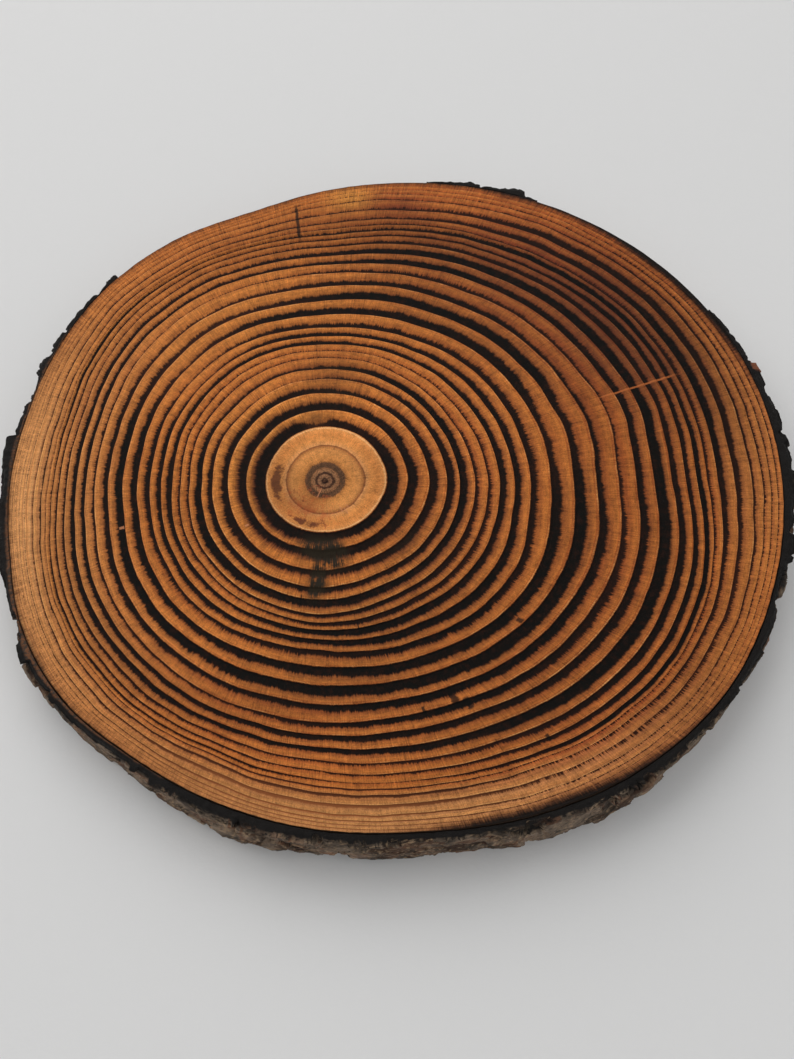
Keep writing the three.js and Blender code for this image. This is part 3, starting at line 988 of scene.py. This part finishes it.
def bark_strip(name, node, strip, seed, settings):
    """One bark strip as a closed surface: sections along the edge, each going up the plated
    outer face, in over the charred top, down behind and out along the bottom."""
    angles, depths = np.array(strip, dtype=float).T
    trim_angles, trims = np.array(BARK_TRIM, dtype=float).T
    stations = int(np.radians(angles[-1] - angles[0]) * MEAN_RADIUS / STATION) + 1
    degrees = np.linspace(angles[0], angles[-1], stations)
    reach = around(EDGE_REACH, degrees) + STAND_OFF
    inner = around(WOOD_EDGE, degrees) + reach
    thickness = np.interp(degrees, angles, depths) + np.interp(degrees, trim_angles, trims)
    thickness = thickness + BARK_GAP - reach
    along = np.cumsum(np.radians(np.gradient(degrees)) * inner)
    level = np.zeros(stations)
    top = THICKNESS - TOP_DROP - 0.35 * (0.5 + 0.5 * ripple(along / 2.3, level, seed + 5))
    top = top - 0.25 * np.clip(ripple(along / 0.9, level, seed + 6), 0, 1)
    worn = 0.25 + 1.3 * ease(ripple(along / 5.2, level, seed + 13), -0.5, 0.7)
    brow = top - worn - 0.5 * np.abs(ripple(along / 1.4, level, seed + 14))
    chip = near_angle(degrees, CHIP_ANGLE, CHIP_HALF_ANGLE) if node == "bark_main" else level
    chip = ease(chip, 0.1, 0.3)

    up = np.linspace(0, 1, FACE_ROWS)[:, None] * (brow - INSIDE) + INSIDE
    run = np.broadcast_to(along, up.shape)
    height, tone, edge, solid, lip = bark_plates(run, up, seed)
    curve = FACE_CURVE * (up / (THICKNESS / 2) - 1) ** 2
    undercut = UNDERCUT * ease(UNDERCUT_TOP - up, 0, UNDERCUT_TOP)
    undercut = undercut * ease(ripple(run / 9, up / 30, seed + 7), -0.2, 0.8)
    fine = waves(run, up, (0.1, 0.7, 0.6, seed + 8), (0.22, 2.1, 3, seed + 12))
    relief = settings.plate_lift / MM * height - 0.15 - curve - undercut + fine
    flake = CHIP_REACH * chip * ease(up, *CHIP_FOOT) * ease(CHIP_HEAD - up)
    face = inner + np.maximum(0.35, thickness + relief * np.minimum(1, thickness / 2.5) + flake)
    # Depth runs from 0 in the gaps to 1 on the highest plates; the bark material uses it for painted shade,
    # darker the lower a place lies
    depth = ease(height, -GAP_DEPTH, 0.9)

    rows = [(face, up, tone, edge, solid, np.zeros_like(face), lip, depth)]
    crown = face[-1]
    for share in CROWN_SHARES:
        radius = inner + (crown - inner) * share
        bumps = 0.14 * ripple(along / 0.8, level + share * 9, seed + 9) - 0.07
        z = brow + (top - brow) * ease(1 - share, 0, 0.55) + bumps
        z = np.minimum(z, THICKNESS - 0.01)
        rows.append(one_row(radius, z, tone[-1], edge[-1], 1, 1, lip[-1], depth[-1]))
    for share in BACK_SHARES:
        rows.append(one_row(inner, INSIDE + (top - INSIDE) * share, tone[-1], 0, 1, share == 1, 0, 1))
    for share in BOTTOM_SHARES:
        rows.append(one_row(inner + (face[0] - inner) * share, 0, tone[0], 0, solid[0], 0, 0, 1))
    radius, z, tone, edge, solid, cut, lip, depth = (np.concatenate(column) for column in zip(*rows))

    points = placed(radius, degrees, z)
    low, high = (np.array(corner) / MM for corner in CAD_BOX)
    points[..., :2] = np.clip(points[..., :2], low[:2] + INSIDE, high[:2] - INSIDE)
    count = len(radius)
    quads = grid_faces(count, stations, True, False)
    ends = points.mean(axis=0)[[0, -1]]
    here = np.arange(count) * stations
    after = np.roll(here, -1)
    hub, last = count * stations, stations - 1
    faces = [quads, fan(hub, after, here), fan(hub + 1, here + last, after + last)]

    gap = (radius - inner) / np.maximum(crown - inner, 0.1)
    brown_width = 0.45 * near_angle(degrees, 212, 40) + 0.2 * near_angle(degrees, 165, 25)
    # The edge mark tells the material where to paint shadow along plate outlines and under flake steps
    marks = {
        "tone": tone, "edge": edge, "solid": solid, "cut": cut, "lip": lip, "depth": depth,
        "inner": ease(brown_width - gap, -0.12, 0.12) * cut * (brown_width > 0.02),
        "bared": ease(gap, 0.35, 0.75) * near_angle(degrees, 285, 95),
        "chipped": chip * ease(z, *CHIP_FOOT) * ease(gap, 0.5, 0.62),
    }
    marks = {label: np.append(values, values[END_ROW, [0, -1]]) for label, values in marks.items()}
    return new_piece(name, np.concatenate([points.reshape(-1, 3), ends]), faces, marks, node)


def flaky_bark(settings):
    """Bark plates from grey-brown to red-brown with thin tan edges, darkened the lower they lie as painted
    shade, with black painted shadow in the gaps and along their outlines, burnt black along the cut top."""
    paint = Paint("flaky bark")
    _, distance, heading = from_pith(paint)
    mm = paint.vector("SCALE", paint.add("ShaderNodeTexCoord", output="Object"), 1 / MM)
    tone, edge, solid, cut, lip, depth = paint.marks("tone", "edge", "solid", "cut", "lip", "depth")
    inner, bared, chipped = paint.marks("inner", "bared", "chipped")
    layers = round_noise(paint, heading, 14, distance * 1.8, 4.0, 0.65)
    fibre = paint.noise(paint.vector("MULTIPLY", mm, (1, 1, 2.2)), 0.9, 4.0, 0.65)
    sooted = paint.between(paint.noise(mm, 0.14, 3.0, 0.6), 0.36, 0.6, 0.3, 1.05)
    bark = paint.ramp(tone, [
        (0.1, settings.bark_dark), (0.32, settings.bark_grey), (0.45, settings.bark_grey),
        (0.6, settings.bark_red), (0.74, settings.bark_red), (0.88, settings.bark_grey),
        (1.0, settings.bark_light),
    ])
    shade = fibre * 2.0 + layers * 2.2 + 0.05
    # Painted shade and light: plates are darkened the lower they lie and lightened a little on top, by depth
    bark = paint.shaded(bark, shade * paint.between(depth, 0.15, 0.85, 0.2, 1.15) * sooted)

    tan = lip * depth * paint.between(paint.noise(mm, 0.9, 3.0), 0.4, 0.55)
    thin_layers = paint.between(layers, 0.06, 0.14) * cut
    # Painted shadow: dark outlines near plate edges and under flake steps, and the gaps between plates, take
    # the char colour
    painted_crack_shadow = paint.between((fibre - 0.5) * 0.8 + edge, 0.58, 0.82) * 0.92
    singed = paint.noise(mm, 0.35, 3.0) * 5.0 + paint.part_of(mm, "Z") - bared * 3.0
    speckle = paint.between(paint.noise(mm, 1.6), 0.45, 0.6)
    bark = paint.layered(
        bark,
        (paint.math("MAXIMUM", tan, thin_layers) * 0.8, settings.bark_tan),
        (paint.math("MAXIMUM", painted_crack_shadow, paint.fading(solid, 0.15, 0.7) * 0.96), settings.char),
        (paint.between(singed, 12.6, 16.0), settings.char),
        (cut * paint.fading((fibre - 0.5) * 2.4 + bared, 0.5, 1.0), settings.char),
        (chipped * 0.9, settings.bark_chip),
        (inner, paint.colour(speckle, settings.inner_bark, settings.bark_dark)),
    )
    return paint.finish(bark, 0.85, paint.noise(mm, 3.5, 3.0) * 0.4 + fibre, BARK_BUMP, 0.25)


# Stage


def pale_floor(settings):
    """A plain pale painted surface with a faint even grain."""
    paint = Paint("pale floor")
    grain = paint.noise(paint.add("ShaderNodeTexCoord", output="Object"), 900.0)
    return paint.finish(settings.floor_colour, 0.9, grain, FLOOR_BUMP, 0.0)


def stage_floor(settings):
    """A floor that is flat round the slice and rises smoothly far out: its height is the rise
    times the square of the distance beyond the flat part."""
    run = np.linspace(-FLOOR_REACH, FLOOR_REACH, FLOOR_POINTS)
    x, y = np.meshgrid(run, run, indexing="ij")
    z = FLOOR_RISE * np.maximum(np.hypot(x, y) - FLOOR_FLAT, 0) ** 2
    points = np.stack([x, y, z], axis=-1).reshape(-1, 3)
    mesh = bpy.data.meshes.new("floor")
    mesh.from_pydata(points.tolist(), [], grid_faces(FLOOR_POINTS, FLOOR_POINTS, False, False).tolist())
    mesh.polygons.foreach_set("use_smooth", np.ones(len(mesh.polygons), dtype=bool))
    mesh.update()
    mesh.materials.append(pale_floor(settings))
    floor = bpy.data.objects.new("floor", mesh)
    bpy.context.scene.collection.objects.link(floor)


def soft_light(name, place, size, tint, power):
    """A square softbox at a place, turned to face the slice."""
    lamp = bpy.data.lights.new(name, "AREA")
    lamp.size, lamp.energy, lamp.color = size, power, tint
    holder = bpy.data.objects.new(name, lamp)
    bpy.context.scene.collection.objects.link(holder)
    x, y, z = place
    holder.location = place
    holder.rotation_euler = (math.atan2(math.hypot(x, y), z), 0, math.atan2(-y, -x) - math.pi / 2)


def soft_room(scene):
    """Even pale light from all round."""
    world = bpy.data.worlds.new("room")
    world.use_nodes = True
    light = world.node_tree.nodes["Background"].inputs
    light["Color"].default_value = ROOM_TINT
    light["Strength"].default_value = ROOM_STRENGTH
    scene.world = world


def front_camera(scene):
    """The camera above and in front of the slice, as placed for the photograph."""
    lens = bpy.data.cameras.new("camera")
    lens.lens, lens.sensor_width = CAMERA_LENS, 36
    lens.clip_start, lens.clip_end = 0.01, 40
    camera = bpy.data.objects.new("camera", lens)
    camera.location = CAMERA_PLACE
    camera.rotation_euler = (math.radians(CAMERA_TILT), 0, 0)
    scene.collection.objects.link(camera)
    scene.camera = camera


# The add-on


def tint_property(label, note, screen):
    """A colour setting whose default is a 0 to 255 screen colour."""
    return FloatVectorProperty(
        name=label, description=note, subtype="COLOR", size=3, min=0, max=1, default=light_values(*screen)
    )


def length_property(label, note, default, largest):
    """A length setting whose default and largest value are in mm."""
    return FloatProperty(
        name=label, description=note, default=default * MM, min=0, max=largest * MM,
        unit="LENGTH", subtype="DISTANCE",
    )


class SliceWood(bpy.types.PropertyGroup):
    groove_depth: length_property("Groove depth", "How far the burnt wood lies below the late wood", 0.26, 1)
    unevenness: length_property("Unevenness", "Height of the face's slow waves", 0.12, 1)
    late_wood: tint_property("Late wood", "Orange-brown of the proud bands", (194, 110, 47))
    golden_wood: tint_property("Golden wood", "Lighter, yellower wood", (212, 138, 62))
    # Colour of the painted highlight on the crest of the late wood before each burnt band
    crest_highlight_wood: tint_property("Crest wood", "Thin pale line before each burnt band", (222, 160, 94))
    deep_wood: tint_property("Deep wood", "Redder, darker wood", (150, 64, 30))
    sap_wood: tint_property("Sap wood", "Pale outer wood", (204, 147, 94))
    line_wood: tint_property("Line wood", "Unburnt year lines of the outer wood", (150, 88, 49))
    scorched_wood: tint_property("Scorched wood", "Purple-brown arc near the pith", (84, 42, 28))
    singed_wood: tint_property("Singed wood", "Lightly burnt bands", (84, 40, 22))
    ray_wood: tint_property("Ray wood", "Thin ray across the rings", (192, 108, 56))
    chip_wood: tint_property("Chipped wood", "Pale chips and scratches", (206, 136, 96))
    char: tint_property("Char", "Burnt black wood", (10, 8, 6))
    smoke: tint_property("Smoke", "Red-brown smoke stain", (70, 35, 24))
    soot: tint_property("Soot", "Olive-grey soot", (38, 31, 20))
    edge_wood: tint_property("Edge wood", "Bare wood of the side", (150, 104, 66))
    edge_dark: tint_property("Dark edge wood", "Darker patches of the side", (96, 64, 42))
    sawn_wood: tint_property("Sawn wood", "Pale wood of the underside", (206, 168, 120))
    sawn_late: tint_property("Sawn late wood", "Year lines of the underside", (156, 106, 62))


class SliceBark(bpy.types.PropertyGroup):
    plate_lift: length_property("Plate lift", "Height of the bark's plates over their gaps", 1.0, 2)
    char: tint_property("Char", "Burnt black wood and bark", (21, 18, 17))
    bark_dark: tint_property("Dark bark", "Dark brown plates", (70, 57, 48))
    bark_grey: tint_property("Grey bark", "Grey-brown plates", (116, 101, 87))
    bark_light: tint_property("Light bark", "Weathered light plates", (142, 124, 105))
    bark_red: tint_property("Red bark", "Red-brown plates", (106, 76, 58))
    bark_chip: tint_property("Bark chip", "Fresh red-brown chip", (134, 80, 54))
    bark_tan: tint_property("Tan bark", "Thin edges of the plates", (172, 144, 114))
    inner_bark: tint_property("Inner bark", "Brown strip next to the wood", (112, 74, 50))


class SliceStage(bpy.types.PropertyGroup):
    floor_colour: tint_property("Floor", "Pale painted floor", (230, 230, 231))
    key_power: FloatProperty(
        name="Main light", description="Power of the large soft light", default=13, min=0, unit="POWER"
    )
    fill_power: FloatProperty(
        name="Fill light", description="Power of the light from the front", default=2, min=0, unit="POWER"
    )


class WOODSLICE_OT_disc(bpy.types.Operator):
    """Build the torched wood disc with its year rings in relief"""

    bl_idname = "wood_slice.disc"
    bl_label = "Wood Disc"

    def execute(self, context):
        torched_disc(context.scene.slice_wood)
        return {"FINISHED"}


class WOODSLICE_OT_bark(bpy.types.Operator):
    """Build both strips of flaky bark"""

    bl_idname = "wood_slice.bark"
    bl_label = "Bark Strips"

    def execute(self, context):
        settings = context.scene.slice_bark
        finish = flaky_bark(settings)
        for name, node, strip, seed in (
            ("bark_strip_main", "bark_main", MAIN_BARK, 101),
            ("bark_strip_back", "bark_patch_back", BACK_BARK, 202),
        ):
            bark_strip(name, node, strip, seed, settings).data.materials.append(finish)
        return {"FINISHED"}


class WOODSLICE_OT_stage(bpy.types.Operator):
    """Lay the floor and set the lights and the camera"""

    bl_idname = "wood_slice.stage"
    bl_label = "Stage"

    def execute(self, context):
        scene = context.scene
        settings = scene.slice_stage
        stage_floor(settings)
        for light, power in zip(LIGHTS, (settings.key_power, settings.fill_power)):
            soft_light(*light, power)
        soft_room(scene)
        front_camera(scene)
        scene.view_settings.view_transform = "Standard"
        return {"FINISHED"}


class WOODSLICE_PT_panel(bpy.types.Panel):
    """Lists the pieces of the slice and their settings"""

    bl_label = "Wood Slice"
    bl_space_type = "VIEW_3D"
    bl_region_type = "UI"
    bl_category = "Wood Slice"

    def draw(self, context):
        scene = context.scene
        for settings, operator in (
            (scene.slice_wood, WOODSLICE_OT_disc),
            (scene.slice_bark, WOODSLICE_OT_bark),
            (scene.slice_stage, WOODSLICE_OT_stage),
        ):
            box = self.layout.box()
            box.operator(operator.bl_idname)
            for name in settings.bl_rna.properties.keys():
                if name not in ("rna_type", "name"):
                    box.prop(settings, name)


CLASSES = (
    SliceWood, SliceBark, SliceStage,
    WOODSLICE_OT_disc, WOODSLICE_OT_bark, WOODSLICE_OT_stage, WOODSLICE_PT_panel,
)


def register():
    for each in CLASSES:
        bpy.utils.register_class(each)
    bpy.types.Scene.slice_wood = PointerProperty(type=SliceWood)
    bpy.types.Scene.slice_bark = PointerProperty(type=SliceBark)
    bpy.types.Scene.slice_stage = PointerProperty(type=SliceStage)


def unregister():
    del bpy.types.Scene.slice_stage, bpy.types.Scene.slice_bark, bpy.types.Scene.slice_wood
    for each in reversed(CLASSES):
        bpy.utils.unregister_class(each)


def main():
    register()
    bpy.ops.wood_slice.disc()
    bpy.ops.wood_slice.bark()
    bpy.ops.wood_slice.stage()


if __name__ == "__main__":
    main()
